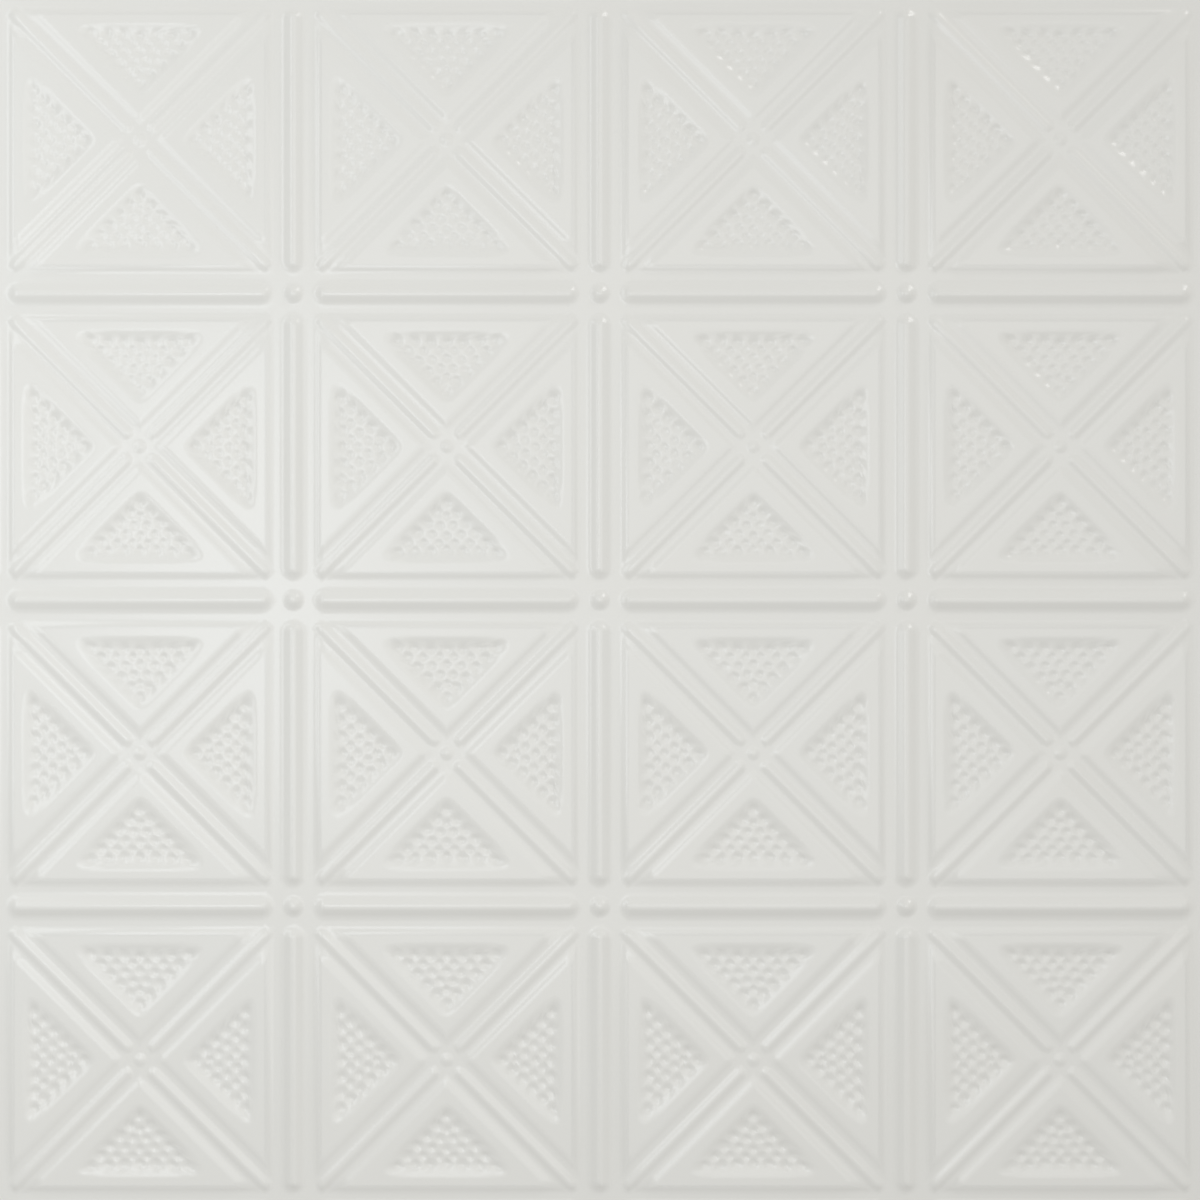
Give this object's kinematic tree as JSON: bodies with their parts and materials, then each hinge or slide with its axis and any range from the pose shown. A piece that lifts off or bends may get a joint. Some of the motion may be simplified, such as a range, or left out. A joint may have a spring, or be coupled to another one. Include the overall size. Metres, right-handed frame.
{
  "type": "pressed tin ceiling tile",
  "caption": "Square pressed-metal ceiling tile in off-white paint, with beaded lines, buttons, diagonal ribs and hammered triangular pans; nails up flat to a ceiling.",
  "frame": {"origin": "middle of the back, on the plane that the flat land of the sheet rests on", "axes": "+Z out of the decorated face, X and Y along the sides"},
  "size_m": [0.6282, 0.6282, 0.0029],
  "materials": {
    "off_white_paint": "semi-gloss enamel"
  },
  "bodies": {
    "root": {"pressed_tile": "off_white_paint"}
  },
  "joints": []
}
